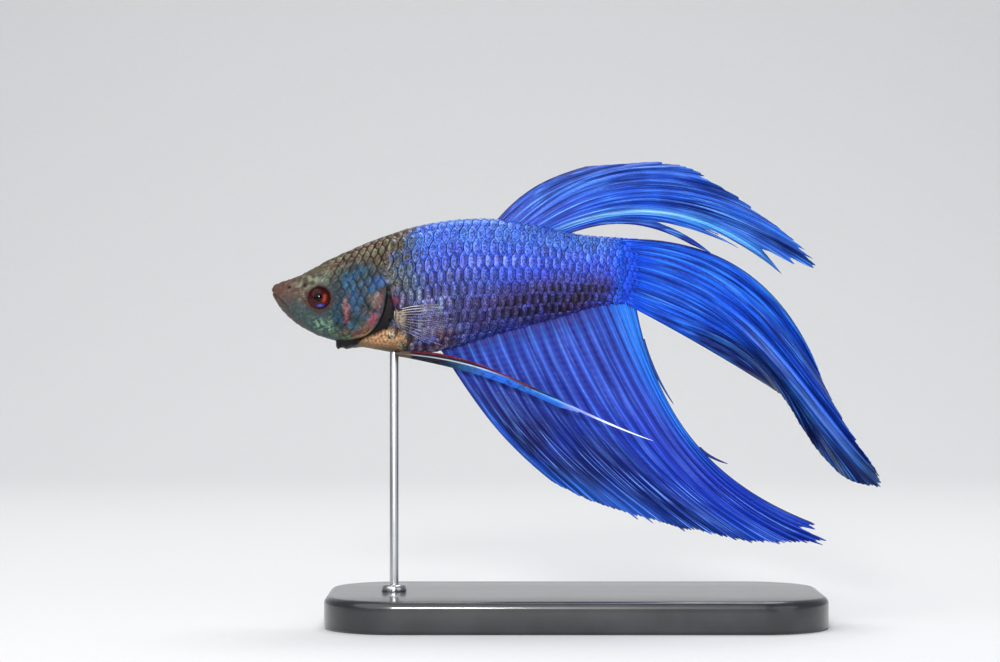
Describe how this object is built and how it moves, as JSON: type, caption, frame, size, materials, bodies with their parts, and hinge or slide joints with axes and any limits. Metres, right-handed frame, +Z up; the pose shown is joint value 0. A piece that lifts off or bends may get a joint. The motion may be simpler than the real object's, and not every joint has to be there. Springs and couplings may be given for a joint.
{
  "type": "betta fish display model",
  "caption": "Still life-size model of a male veil-tailed betta fish, swimming level with its fins spread, held over a flat base by one rod.",
  "frame": {"origin": "middle of the stand's underside", "axes": "-X towards the fish's snout and +X towards its tail, -Y towards its left side, +Z up"},
  "size_m": [0.0762, 0.03, 0.0576],
  "materials": {
    "scales_blue": "overlapping blue-violet scales with dark edges, wet sheen",
    "head_skin": "olive-grey scaled skin, greenish below, wet sheen",
    "gill_blue": "teal-blue gill cover with red-brown marks",
    "membrane_dark": "black gill membrane",
    "eye": "dark red iris and black pupil under a clear cornea",
    "fin_blue": "saturated blue membrane between darker and lighter rays",
    "fin_clear": "clear membrane with whitish rays and a cream base",
    "pelvic_blue": "blue and black blade with a white leading edge and tip",
    "base_dark": "dark satin acrylic",
    "rod_steel": "fine brushed rod"
  },
  "bodies": {
    "root": {"head": "head_skin", "lower_jaw": "head_skin", "gill_cover_left": "gill_blue", "gill_cover_right": "gill_blue", "gill_membrane": "membrane_dark", "eye_left": "eye", "eye_right": "eye", "trunk": "scales_blue", "tail_stalk": "scales_blue", "fin_dorsal": "fin_blue", "fin_caudal": "fin_blue", "fin_anal": "fin_blue", "fin_pelvic_left": "pelvic_blue", "fin_pelvic_right": "pelvic_blue", "fin_pectoral_left": "fin_clear", "fin_pectoral_right": "fin_clear", "stand_base": "base_dark", "stand_rod": "rod_steel"}
  },
  "joints": []
}
